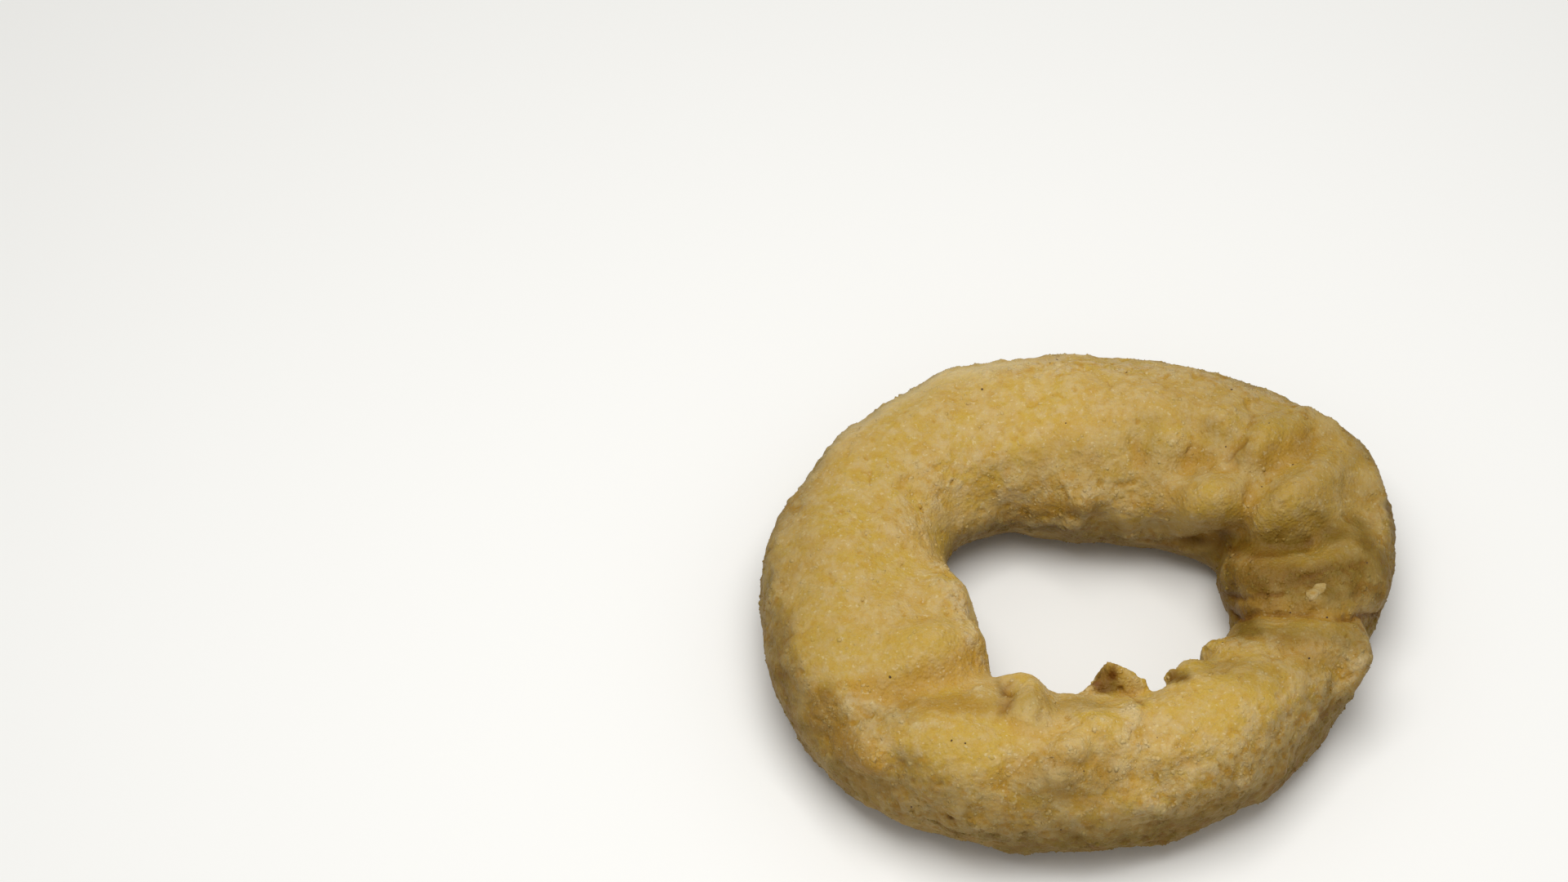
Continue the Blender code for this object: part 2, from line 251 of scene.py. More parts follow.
# Where the crust is darkened: mostly painted shade, and some real browning.
SHADE_AND_TOAST_PATCHES = (
    Patch(((1480, 700), (1540, 710), (1600, 712), (1690, 705)), 5.0, 0.75),
    Patch(((1625, 655), (1665, 650), (1690, 690)), 3.0, 0.75),
    Patch(((1560, 560), (1600, 545)), 2.6, 0.25),
    Patch(((1500, 670), (1545, 675), (1590, 668)), 2.2, 1.0),
    Patch(((1505, 700), (1510, 745), (1535, 775)), 2.4, 0.9),
    Patch(((1530, 775), (1600, 775), (1670, 775)), 2.8, 0.55),
    Patch(((1490, 815), (1545, 820), (1630, 812)), 3.0, 0.35),
    Patch(((1440, 664), (1500, 668), (1560, 672), (1600, 664)), 1.4, 0.9),
    Patch(((1010, 860), (1030, 900), (1050, 940)), 2.8, 0.6),
    Patch(((1240, 634), (1290, 630), (1350, 626)), 2.0, 0.6),
    Patch(((1240, 648), (1300, 650), (1340, 652)), 1.6, 1.0),
    Patch(((1455, 985), (1495, 952)), 2.4, 0.5),
    Patch(((1180, 1010), (1215, 1012)), 2.0, 0.55),
    Patch(((1060, 885), (1110, 878)), 2.6, 0.35),
    Patch(((1285, 862), (1340, 862)), 1.8, 0.4),
    Patch(((1110, 860), (1180, 860), (1270, 856)), 2.2, 0.35),
    Patch(((1265, 950), (1360, 954)), 2.4, 0.45),
    Patch(((1400, 590), (1440, 585), (1480, 570)), 3.0, 0.2),
    Patch(((1350, 828), (1356, 834)), 1.1, 1.0),
    Patch(((1346, 838), (1366, 838)), 0.6, 1.0),
    Patch(((1434, 827), (1450, 830)), 1.0, 1.0),
    Patch(((1220, 836), (1226, 850)), 0.9, 0.5),
)
# Where pale flour dusts the crust.
FLOURY_PATCHES = (
    Patch(((985, 590), (1040, 515), (1130, 462), (1240, 446)), 2.2, 0.7),
    Patch(((945, 640), (940, 720)), 1.8, 0.5),
    Patch(((1197, 842),), 0.8, 1.0),
    Patch(((1326, 630), (1330, 634)), 0.6, 0.8),
    Patch(((1388, 874),), 0.9, 0.6),
    Patch(((1300, 949), (1272, 956)), 1.2, 0.5),
    Patch(((1262, 868), (1268, 885)), 2.0, 0.3),
    Patch(((1320, 914),), 1.5, 0.35),
)
# Thin torn batter, which keeps its edges.
TORN_PATCHES = (
    Patch(((1340, 836), (1356, 813), (1406, 836)), 1.6, 1.0),
    Patch(((1425, 823), (1440, 815), (1465, 809), (1487, 792)), 1.4, 1.0),
    Patch(((1503, 748), (1508, 756)), 1.2, 1.0),
)

# A fold is cut along a course of photo pixels and in under its far side. Width, depth and undercut
# are in mm.
Fold = namedtuple("Fold", "course width depth undercut")
FOLDS = (
    # Under the puffed hills of the far right.
    Fold(((1425, 662), (1459, 663), (1490, 657), (1511, 646), (1522, 650)), 0.7, 0.3, 0.3),
    Fold(((1526, 646), (1531, 625), (1530, 600)), 0.7, 0.6, 0.0),
    # Under the lower end of the left side.
    Fold(((1062, 846), (1105, 844), (1150, 828), (1200, 806), (1238, 786)), 1.4, 0.1, 0.0),
    # Across the right side, above the main crack and at it.
    Fold(((1504, 731), (1528, 734), (1545, 730)), 0.6, 0.3, 0.1),
    Fold(((1521, 760), (1537, 752), (1603, 754), (1633, 760), (1692, 752)), 0.8, 0.3, 0.1),
    # Under the near side's round hill and left of the knob.
    Fold(((1296, 930), (1316, 938), (1336, 932)), 0.8, 0.35, 0.2),
    Fold(((1236, 886), (1250, 896), (1270, 898)), 0.8, 0.2, 0.2),
)

# A stroke is a crack or crease along a course of photo pixels, or with no depth only a brown band.
# Width and depth are in mm. The last value is how brown it is, the brown of a crack or painted
# shade: at 1 it is all brown on the course, and above 1 also a little beside it.
Stroke = namedtuple("Stroke", "course width depth stain")
STROKES = (
    # The main crack across the right side.
    Stroke(((1508, 751), (1521, 760), (1537, 752), (1551, 751), (1576, 752), (1603, 754),
            (1633, 760), (1655, 757), (1673, 754), (1690, 751)), 0.36, 0.6, 0.6),
    Stroke(((1506, 731), (1528, 734), (1543, 729), (1570, 728)), 0.34, 0.35, 0.45),
    # Slits on the far right.
    Stroke(((1528, 525), (1535, 513), (1538, 508)), 0.34, 0.35, 0.35),
    Stroke(((1502, 565), (1515, 550), (1524, 541)), 0.45, 0.25, 0.3),
    Stroke(((1452, 560), (1458, 545)), 0.3, 0.4, 0.3),
    Stroke(((1598, 707), (1612, 702), (1626, 696)), 0.3, 0.25, 0.4),
    Stroke(((1652, 693), (1660, 686)), 0.3, 0.2, 0.5),
    Stroke(((1668, 690), (1676, 689)), 0.3, 0.2, 0.6),
    # The knob's cleft.
    Stroke(((1235, 845), (1237, 853), (1231, 860), (1229, 868)), 0.38, 0.6, 0.8),
    Stroke(((1236, 843), (1235, 851), (1231, 859), (1228, 868)), 0.9, 0.2, 0.9),
    # From the torn leaf's root.
    Stroke(((1371, 842), (1381, 849), (1390, 855), (1398, 862)), 0.32, 0.4, 0.7),
    Stroke(((1342, 843), (1356, 844), (1372, 843)), 0.34, 0.4, 0.8),
    # Painted shade at the deep end of the fold that runs from the hole: brown, not cut.
    Stroke(((1500, 674), (1530, 680), (1560, 680)), 1.2, 0.0, 0.5),
    # The torn leaf's brown left facet and the shade behind the small ledge.
    Stroke(((1344, 836), (1356, 836), (1360, 822)), 1.1, 0.0, 1.2),
    Stroke(((1434, 829), (1452, 832)), 0.7, 0.0, 0.5),
    # Pits of the near side.
    Stroke(((1162, 1000), (1166, 1001)), 0.4, 0.5, 0.8),
    Stroke(((1110, 955), (1150, 962)), 0.5, 0.15, 0.1),
)

# The torn leaf: its root's pixel, its thickness, and its two facets, which meet at its crease. Each
# corner has its pixel, and how far it stands behind the root.
LEAF_ROOT = (1372, 852)
LEAF_THICKNESS = 0.7
LEAF_FACETS = (
    (((1331, 848), 1.8), ((1344, 832), 2.6), ((1356, 814), 2.8), ((1366, 816), 2.0), ((1377, 848), 0.3)),
    (((1366, 816), 2.0), ((1386, 826), 1.9), ((1403, 835), 1.6), ((1411, 848), 0.9), ((1377, 850), 0.3)),
)

# The pale chip on the right side, the marks it has all over, and other pale lumps. Of each lump:
# where it lies, and its radius.
CHIP = (
    ((1605, 735), 0.4), ((1607, 730), 0.55), ((1609, 725), 0.75), ((1614, 722), 0.8), ((1619, 717), 0.6),
    ((1613, 716), 0.5),
)
CHIP_MARKS = {"grain": 0.2, "flake": 1.0, "rough": 1.0, "shade_and_toast": 0.4}
PALE_LUMPS = (
    ((1037, 863), 0.5), ((1041, 870), 0.45), ((1068, 864), 0.55), ((1079, 871), 0.5), ((1094, 866), 0.6),
    ((1097, 876), 0.7), ((1088, 880), 0.5), ((1129, 855), 0.5), ((1120, 889), 0.4), ((1347, 912), 0.5),
    ((1347, 920), 0.4), ((1296, 950), 0.5), ((1304, 948), 0.6), ((1388, 870), 0.9), ((1391, 880), 0.7),
    ((1371, 939), 0.9), ((1459, 945), 0.5), ((1519, 959), 0.45), ((1534, 931), 0.4), ((1174, 992), 0.6),
    ((1168, 990), 0.4), ((1326, 630), 0.5), ((1355, 590), 0.45), ((1413, 640), 0.4), ((1278, 655), 0.5),
    ((1223, 637), 0.5), ((1205, 648), 0.5), ((1190, 662), 0.45), ((1241, 628), 0.4), ((1262, 640), 0.4),
    ((1300, 641), 0.5), ((1345, 652), 0.45), ((1372, 655), 0.4), ((1420, 648), 0.45), ((1499, 568), 0.7),
    ((1505, 558), 0.5), ((1443, 1000), 0.6), ((1418, 992), 0.7), ((1402, 1004), 0.8), ((1360, 1010), 0.6),
    ((1155, 696), 0.4), ((1166, 720), 0.45), ((1175, 740), 0.4), ((1182, 757), 0.5), ((1190, 774), 0.4),
    ((1197, 790), 0.5), ((1203, 808), 0.4), ((1674, 784), 0.5), ((1668, 802), 0.6), ((1663, 822), 0.5),
    ((1610, 509), 0.6), ((1620, 514), 0.7), ((1629, 519), 0.6), ((1637, 527), 0.5),
)

# Dark specks in the batter: their pixels, how many more lie on the sides that the photograph hides,
# and their radii.
SPECKS = (
    (1305, 518), (1508, 477), (1554, 518), (1501, 547), (1545, 596), (1583, 569), (1642, 553),
    (1090, 829), (1448, 854), (1165, 907), (1182, 910), (1417, 903), (1327, 944), (1116, 988),
    (1299, 1016), (1525, 733), (1580, 750), (1603, 806), (1625, 756), (1497, 787), (1674, 689),
)
MORE_SPECKS = 26
SPECK_RADII = (0.09, 0.17)
SPECK_ROUGHNESS = 0.6


def camera_axes():
    """The camera's forward, up and right directions."""
    drop = math.atan((RING_PIXEL[1] - PHOTO_HEIGHT / 2) / FOCAL_PIXELS)
    down = math.radians(SEEN_FROM_ABOVE) - drop
    forward = Vector((0, math.cos(down), -math.sin(down)))
    up = Vector((0, math.sin(down), math.cos(down)))
    return forward, up, Vector((1, 0, 0))


def pixel_ray(pixel):
    """The direction from the camera through a pixel of the photograph."""
    forward, up, right = camera_axes()
    across = (pixel[0] - PHOTO_WIDTH / 2) / FOCAL_PIXELS
    drop = (pixel[1] - PHOTO_HEIGHT / 2) / FOCAL_PIXELS
    return forward + right * across - up * drop


def camera_place():
    """Where the camera stands, in mm."""
    return RING_MIDDLE - pixel_ray(RING_PIXEL) * FOCAL_PIXELS / PIXELS_PER_MM


def add_camera():
    forward = camera_axes()[0]
    camera = bpy.data.objects.new("camera", bpy.data.cameras.new("camera"))
    camera.data.lens = LENS
    camera.data.sensor_width = SENSOR
    camera.data.clip_start = NEAREST_SEEN
    camera.location = camera_place() * MM
    camera.rotation_euler = (math.pi / 2 - math.asin(-forward.z), 0, 0)
    bpy.context.scene.collection.objects.link(camera)
    bpy.context.scene.camera = camera


def add_light():
    """The light, which faces the ring, and the room."""
    light = bpy.data.objects.new("key_light", bpy.data.lights.new("key_light", "AREA"))
    light.data.size = LIGHT_SIZE
    light.data.energy = LIGHT_POWER
    light.data.color = LIGHT_COLOUR
    light.location = LIGHT_PLACE
    light.rotation_euler = Vector(LIGHT_PLACE).to_track_quat("Z", "Y").to_euler()
    light.visible_camera = False
    bpy.context.scene.collection.objects.link(light)
    world = bpy.data.worlds.new("pale_room")
    world.use_nodes = True
    background = world.node_tree.nodes["Background"]
    background.inputs["Color"].default_value = ROOM_COLOUR
    background.inputs["Strength"].default_value = ROOM_LIGHT
    bpy.context.scene.world = world
    bpy.context.scene.view_settings.view_transform = "Standard"


def linear(red, green, blue):
    """A colour as the eye reads it, from 0 to 255, as the shader needs it."""
    def channel(value):
        share = value / 255
        return share / 12.92 if share <= 0.04045 else ((share + 0.055) / 1.055) ** 2.4
    return (channel(red), channel(green), channel(blue), 1)


def add_floor():
    shape = bmesh.new()
    bmesh.ops.create_grid(shape, x_segments=1, y_segments=1, size=FLOOR_SIZE)
    mesh = bpy.data.meshes.new("floor")
    shape.to_mesh(mesh)
    shape.free()
    floor = bpy.data.objects.new("floor", mesh)
    material = bpy.data.materials.new("pale_floor")
    material.use_nodes = True
    shader = material.node_tree.nodes["Principled BSDF"]
    shader.inputs["Base Color"].default_value = FLOOR_COLOUR
    shader.inputs["Roughness"].default_value = FLOOR_ROUGHNESS
    mesh.materials.append(material)
    bpy.context.scene.collection.objects.link(floor)


def noise_at(points, size, place):
    """Smooth noise from about -1 to 1 at each point, with features of a size in mm.

    The place shifts the noise, so that no two uses of it are alike.
    """
    scaled = (points / size + np.array(place)).tolist()
    return np.array([noise.noise(point) for point in scaled])


def smooth_step(values, low, high):
    """0 up to low, 1 from high on, and a smooth change between."""
    share = np.clip((values - low) / (high - low), 0, 1)
    return share * share * (3 - 2 * share)


class Surface:
    """The crust's points and normals in mm, the edges between them and its triangles."""

    def __init__(self, mesh):
        self.mesh = mesh
        self.count = len(mesh.vertices)
        points = np.empty(self.count * 3, np.float32)
        mesh.vertices.foreach_get("co", points)
        self.points = points.reshape(-1, 3).astype(float) / MM
        edges = np.empty(len(mesh.edges) * 2, np.int32)
        mesh.edges.foreach_get("vertices", edges)
        self.edges = edges.reshape(-1, 2)
        self.links = np.bincount(self.edges.ravel(), minlength=self.count)
        self.marks = {}
        self.update_normals()

    def write(self):
        self.mesh.vertices.foreach_set("co", (self.points * MM).astype(np.float32).ravel())
        self.mesh.update()

    def update_normals(self):
        self.write()
        normals = np.empty(self.count * 3, np.float32)
        self.mesh.vertex_normals.foreach_get("vector", normals)
        self.normals = normals.reshape(-1, 3).astype(float)

    def triangles(self):
        self.mesh.calc_loop_triangles()
        corners = np.empty(len(self.mesh.loop_triangles) * 3, np.int32)
        self.mesh.loop_triangles.foreach_get("vertices", corners)
        return corners.reshape(-1, 3)

    def smoothed(self, values, rounds):
        """Values, each drawn halfway to the mean of its neighbours, several times over."""
        values = np.array(values, float)
        first, second = self.edges.T
        flat = values.reshape(self.count, -1)
        for _ in range(rounds):
            total = np.empty_like(flat)
            for column in range(flat.shape[1]):
                total[:, column] = np.bincount(first, flat[second, column], self.count)
                total[:, column] += np.bincount(second, flat[first, column], self.count)
            flat = (flat + total / self.links[:, None]) / 2
        return flat.reshape(values.shape)

    def hollow(self, rounds):
        """How far each point lies below the surface's smoothed self, in mm."""
        return ((self.smoothed(self.points, rounds) - self.points) * self.normals).sum(axis=1)

    def outward(self):
        """How far each point faces away from the ring's middle, from -1 to 1."""
        soft = self.smoothed(self.normals, FACING_SMOOTHING)
        across, along, _ = self.points.T
        return (soft[:, 0] * across + soft[:, 1] * along) / np.hypot(across, along)

    def move(self, shifts):
        """Moves each point, but never through the floor."""
        self.points += shifts
        self.points[:, 2] = np.maximum(self.points[:, 2], LOWEST)
        self.update_normals()

    def mark(self, name, values):
        """Keeps a value for each point, for the material and for the crumbs."""
        self.marks[name] = values
        attribute = self.mesh.attributes.new(name, "FLOAT", "POINT")
        attribute.data.foreach_set("value", values.astype(np.float32))


def with_modifiers(mesh, settings, groups=()):
    """The mesh that modifiers make of a mesh. The settings are a type and its values each."""
    form = bpy.data.objects.new("form", mesh)
    bpy.context.scene.collection.objects.link(form)
    for name, members in groups:
        form.vertex_groups.new(name=name).add(members, 1, "REPLACE")
    for kind, values in settings:
        modifier = form.modifiers.new(kind, kind)
        for name, value in values.items():
            setattr(modifier, name, value)
    made = form.evaluated_get(bpy.context.evaluated_depsgraph_get())
    result = bpy.data.meshes.new_from_object(made)
    result.materials.clear()
    bpy.data.objects.remove(form)
    return result


def voxel_mesh(meshes, subdivisions=0):
    """One even, closed mesh round all of the given meshes."""
    shape = bmesh.new()
    for mesh in meshes:
        shape.from_mesh(mesh)
    bmesh.ops.remove_doubles(shape, verts=shape.verts, dist=SAME_POINT * MM)
    joined = bpy.data.meshes.new("form")
    shape.to_mesh(joined)
    shape.free()
    settings = [("REMESH", {"mode": "VOXEL", "voxel_size": VOXEL * MM})]
    if subdivisions:
        settings.insert(0, ("SUBSURF", {"levels": subdivisions}))
    return with_modifiers(joined, settings)


def thin_underside(surface):
    """Joins faces of the underside, to bring the mesh's triangles down towards MOST_TRIANGLES."""
    low = surface.points[:, 2] < UNDERSIDE_TOP
    under = np.flatnonzero(low & (surface.normals[:, 2] < UNDERSIDE_TILT))
    ratio = MOST_TRIANGLES / len(surface.triangles())
    settings = {"ratio": ratio, "vertex_group": "underside", "use_collapse_triangulate": True}
    group = ("underside", under.tolist())
    return Surface(with_modifiers(surface.mesh, [("DECIMATE", settings)], [group]))


class Photo:
    """Finds the places on the crust that pixels of the photograph show."""

    def __init__(self, surface):
        polygons = [list(face.vertices) for face in surface.mesh.polygons]
        self.tree = BVHTree.FromPolygons(surface.points.tolist(), polygons)
        self.eye = camera_place()

    def place(self, pixel):
        """The place that a pixel shows and its normal, or None beside the ring."""
        hit = self.tree.ray_cast(self.eye, pixel_ray(pixel).normalized())
        return None if hit[0] is None else (np.array(hit[0]), np.array(hit[1]))

    def place_at_depth(self, pixel, depth):
        """The place that a pixel shows on the upright plane at a depth along Y, in mm."""
        ray = pixel_ray(pixel)
        return self.eye + ray * ((depth - self.eye.y) / ray.y)

    def course(self, pixels, step=COURSE_STEP):
        """Places close together along a line of pixels."""
        found = []
        for start, end in zip(pixels, pixels[1:] or pixels):
            pieces = max(1, math.ceil(math.dist(start, end) / step))
            for i in range(pieces + 1):
                pixel = [a + (b - a) * i / pieces for a, b in zip(start, end)]
                hit = self.place(pixel)
                if hit is not None:
                    found.append(hit[0])
        return np.array(found)

    def patch_mask(self, points, patches):
        """The largest amount that any of the patches has at each point."""
        mask = np.zeros(len(points))
        for patch in patches:
            course = self.course(patch.course, PATCH_STEP)
            mask = np.maximum(mask, patch.amount * nearness(points, course, patch.reach, PATCH_END))
        return mask


def distance_to(points, course, reach):
    """Each point's distance to a course of places, or infinity well out of its reach."""
    distances = np.full(len(points), np.inf)
    if len(course) == 0:
        return distances
    inside = (points > course.min(axis=0) - reach) & (points < course.max(axis=0) + reach)
    inside = np.flatnonzero(inside.all(axis=1))
    near = points[inside]
    nearest = np.full(len(near), np.inf)
    for start, end in zip(course, course[1:] if len(course) > 1 else course):
        line = end - start
        share = np.clip((near - start) @ line / max(line @ line, 1e-9), 0, 1)
        shift = near - start - share[:, None] * line
        nearest = np.minimum(nearest, (shift * shift).sum(axis=1))
    distances[inside] = np.sqrt(nearest)
    return distances


def nearness(points, course, width, end):
    """1 on a course of places, fading beside it to nothing at the end, which is in widths."""
    away = distance_to(points, course, end * width) / width
    return np.exp(-away * away)


def warped(points, size, reach):
    """Points moved about by noise, so that what is measured from them has ragged edges."""
    shifts = [noise_at(points, size, (9.1 * k, 3.3, 7.7)) for k in range(3)]
    return points + reach * np.stack(shifts, axis=1)


def spread(surface, count, weight, draw):
    """Random places on the crust, more where the weight is higher, with each one's triangle."""
    triangles = surface.triangles()
    corners = surface.points[triangles]
    sides = np.cross(corners[:, 1] - corners[:, 0], corners[:, 2] - corners[:, 0])
    chance = np.linalg.norm(sides, axis=1) * weight[triangles].mean(axis=1)
    chosen = draw.choice(len(triangles), count, p=chance / chance.sum())
    shares = draw.dirichlet((1, 1, 1), count)
    places = (corners[chosen] * shares[:, :, None]).sum(axis=1)
    normals = surface.normals[triangles[chosen]].mean(axis=1)
    normals /= np.linalg.norm(normals, axis=1)[:, None]
    return places, normals, triangles[chosen, 0]


def ball(rounds):
    """The points and triangles of a unit ball with 8 sides, or 20 after a round, 80 after two."""
    if rounds == 0:
        points = [(1, 0, 0), (0, 1, 0), (-1, 0, 0), (0, -1, 0), (0, 0, 1), (0, 0, -1)]
        faces = [(0, 1, 4), (1, 2, 4), (2, 3, 4), (3, 0, 4), (1, 0, 5), (2, 1, 5), (3, 2, 5), (0, 3, 5)]
        return np.array(points, float), np.array(faces)
    shape = bmesh.new()
    bmesh.ops.create_icosphere(shape, subdivisions=rounds, radius=1)
    points = np.array([vertex.co for vertex in shape.verts])
    faces = np.array([[vertex.index for vertex in face.verts] for face in shape.faces])
    shape.free()
    return points, faces


def grains_mesh(places, normals, radii, draw, rounds, flatness, unevenness, sunk):
    """Uneven balls at places on the crust, joined in one mesh, sunk by a share of their radii."""
    base, faces = ball(rounds)
    count, corners = len(places), len(base)
    aside = np.cross(normals, draw.normal(size=(count, 3)))
    aside /= np.linalg.norm(aside, axis=1)[:, None]
    across = np.cross(normals, aside)
    stretch = draw.uniform(*STRETCH, (count, 1, 3)) * np.array((1, 1, flatness))
    points = base * stretch * draw.uniform(1 - unevenness, 1 + unevenness, (count, corners, 1))
    points *= radii[:, None, None]
    axes = np.stack((aside, across, normals), axis=1)
    points = np.einsum("gci,gij->gcj", points, axes)
    points += (places - normals * (sunk * radii)[:, None])[:, None, :]
    points[:, :, 2] = np.maximum(points[:, :, 2], LOWEST)
    triangles = faces[None] + (np.arange(count) * corners)[:, None, None]
    mesh = bpy.data.meshes.new("grains")
    mesh.from_pydata((points.reshape(-1, 3) * MM).tolist(), [], triangles.reshape(-1, 3).tolist())
    return mesh


def soften(surface, kept, rounds):
    """Smooths a surface, but only lightly where it is kept, from 0 to 1."""
    lightly = surface.smoothed(surface.points, 1)
    kept = np.minimum(1, kept)[:, None]
    surface.points = kept * lightly + (1 - kept) * surface.smoothed(lightly, rounds)
    surface.update_normals()


def crust_roughness(surface, photo):
    """How rough with flakes and crumbs each point is, from 0 to 1: in patches and on the flanks."""
    loose = warped(surface.points, *PATCH_WARP)
    patches = photo.patch_mask(loose, ROUGH_PATCHES)
    uneven = 0.75 + 0.5 * noise_at(loose, 5, (3.1, 5.2, 7.3))
    return np.maximum(patches, uneven * 0.6 * smooth_step(surface.outward(), 0.4, 0.8))


def swell_height(points, rough, swell):
    """How high a swell raises each point."""
    return (swell.smooth + swell.rough * rough) * noise_at(points, swell.size, swell.place)


def shape_form(surface, photo, rough):
    """Raises the hills and the swells, sinks the hollows and cuts the folds."""
    loose = warped(surface.points, *HILL_WARP)
    rise = photo.patch_mask(loose, HILLS) - photo.patch_mask(loose, HOLLOWS)
    for swell in FORM_SWELLS:
        rise += swell_height(surface.points, rough, swell)
    shifts = surface.normals * rise[:, None]
    ragged = warped(surface.points, *FOLD_WARP)
    for fold in FOLDS:
        groove = nearness(ragged, photo.course(fold.course), fold.width, PATCH_END)[:, None]
        shifts += groove * (np.array((0, fold.undercut, 0)) - fold.depth * surface.normals)
    surface.move(shifts)


def clumps_mesh(surface, rough):
    """The batter's clumps, which the crust's mesh is then drawn round. The rough crust has more."""
    draw = np.random.default_rng(CLUMP_SEED)
    weight = smooth_step(surface.points[:, 2], 0.8, 4) * (0.22 + rough)
    places, normals, near = spread(surface, CLUMPS, weight, draw)
    radii = draw.uniform(*CLUMP_RADII, CLUMPS)
    radii += ROUGH_CLUMP_RADIUS * rough[near] * draw.random(CLUMPS) ** 2
    sunk = draw.uniform(0.2, 0.65, CLUMPS) + 0.15 * (1 - rough[near])
    return grains_mesh(places, normals, radii, draw, rounds=2, flatness=0.75, unevenness=0.15, sunk=sunk)


def lumps_mesh(lumps, photo, flatness):
    """Lumps at pixels of the photograph, each with its radius."""
    draw = np.random.default_rng(LUMP_SEED)
    hits = [(photo.place(pixel), radius) for pixel, radius in lumps]
    seen = [(*hit, radius) for hit, radius in hits if hit is not None]
    places, normals, radii = (np.array(values) for values in zip(*seen))
    return grains_mesh(places, normals, radii, draw, rounds=2, flatness=flatness, unevenness=0.3, sunk=0.25)


def leaf_mesh(photo):
    """The torn leaf at the hole's near edge, as the hull of each of its facets."""
    root = photo.place(LEAF_ROOT)[0][1]
    shape = bmesh.new()
    for corners in LEAF_FACETS:
        places = [photo.place_at_depth(pixel, root + behind) for pixel, behind in corners]
        points = places + [place + Vector((0, LEAF_THICKNESS, 0)) for place in places]
        made = [shape.verts.new(point * MM) for point in points]
        bmesh.ops.convex_hull(shape, input=made)
    mesh = bpy.data.meshes.new("leaf")
    shape.to_mesh(mesh)
    shape.free()
    return mesh


def carve_crust(surface, photo):
    """Lays on the flakes, sinks the pits, cuts the cracks and marks what the material needs."""
    rough = crust_roughness(surface, photo)
    loose = warped(surface.points, *PATCH_WARP)
    yellow = photo.patch_mask(loose, YELLOW_PATCHES)
    ragged = warped(warped(surface.points, *FLAKE_WARP), *FINE_WARP)
    field = noise_at(ragged, 2.0, (6.6, 0.4, 1.8)) + 0.6 * noise_at(ragged, 0.9, (2.2, 9.4, 5.1))
    flake = smooth_step(field + 0.3 * rough - 0.4 * yellow, -0.2, 0.4)
    rise = (FLAKE_RISE + ROUGH_FLAKE_RISE * rough) * flake
    rise += swell_height(surface.points, rough, CRUST_SWELL)
    pits = smooth_step(noise_at(ragged, 1.4, (8.8, 1.2, 3.9)), 0.3, 0.55) * (1 - 0.6 * yellow)
    rise -= PIT_DEPTH * pits
    # Brown along the cracks, and painted shade along the fold's deep end and behind the small ledge.
    stain = np.zeros(surface.count)
    # A crack is not equally deep all along.
    unequal = np.clip(0.7 + 0.9 * noise_at(surface.points, 1.5, (4.4, 2.8, 6.1)), 0.25, 1.3)
    for stroke in STROKES:
        groove = nearness(ragged, photo.course(stroke.course), stroke.width, STROKE_END) * unequal
        rise -= stroke.depth * groove
        stain = np.maximum(stain, np.minimum(1, stroke.stain * groove))
    surface.move(surface.normals * rise[:, None])
    surface.mark("fine_hollow", surface.hollow(FINE_HOLLOW_SMOOTHING))
    surface.mark("wide_hollow", surface.hollow(WIDE_HOLLOW_SMOOTHING))
    surface.mark("stain", stain)
    surface.mark("flake", flake)
    surface.mark("yellow", yellow)
    # The deeper a hollow or fold is, the more orange it is: partly oil that it holds, partly painted shade.
    folds = [Patch(fold.course, 1.6 * fold.width, 0.5) for fold in FOLDS]
    sunken = 1.8 * photo.patch_mask(loose, (*HOLLOWS, *folds))
    oil_and_shade = np.maximum(sunken, photo.patch_mask(loose, OILY_PATCHES))
    surface.mark("orange", np.minimum(1, np.maximum(oil_and_shade, 0.5 * pits)))
    lumps = [Patch((pixel,), 1.1 * radius, 0.55) for pixel, radius in PALE_LUMPS]
    surface.mark("floury", np.minimum(1, photo.patch_mask(ragged, (*FLOURY_PATCHES, *lumps))))
    surface.mark("rough", rough)
    # Painted shade, and some real browning: how much darker each point is.
    surface.mark("shade_and_toast", crust_shade_and_toast(surface, photo.patch_mask(loose, SHADE_AND_TOAST_PATCHES)))
    surface.mark("grain", np.zeros(surface.count))


def crust_shade_and_toast(surface, patches):
    """How much darker each point is, from 0 to 1, by where it lies and by the patches: mostly painted
    shade, and some real browning.
    """
    across, along, height = surface.points.T
    outward = surface.outward()
    # Painted shade: more and more to the right, and a little at the far left.
    right = 0.45 * smooth_step(across, -5, 36) * smooth_step(along, -28, 0)
    left = 0.12 * smooth_step(-across, 5, 25) + 0.25 * smooth_step(-across, 26, 36)
    # Painted shade on the outer flanks, more so low down on the near side, and on what faces down.
    near = 0.35 + 0.65 * smooth_step(-along, 0, 20) * smooth_step(across, -20, -6)
    flank = smooth_step(outward, 0.5, 0.9) * (0.45 + 0.68 * near * (1 - smooth_step(height, 5, 13)))
    under = 0.9 * smooth_step(-surface.normals[:, 2], 0, 0.6) * (1 - smooth_step(height, 3, 7))
    # Painted shade on the hole's walls: low down all round, and at any height on the far side.
    inner = 0.9 * smooth_step(-outward, 0.4, 0.95) * (1 - smooth_step(height, 7, 14))
    far = smooth_step(along, 5, 15) * smooth_step(across, -18, -8)
    inner = np.maximum(inner, 0.3 * smooth_step(-outward, 0.1, 0.6) * far)
    whole = right + left + np.maximum(flank, under) + inner
    uneven = 1 + 0.3 * noise_at(surface.points, 2.5, (3.7, 6.1, 0.2))
    return np.clip(uneven * np.maximum(whole, patches + right / 2), 0, 1)


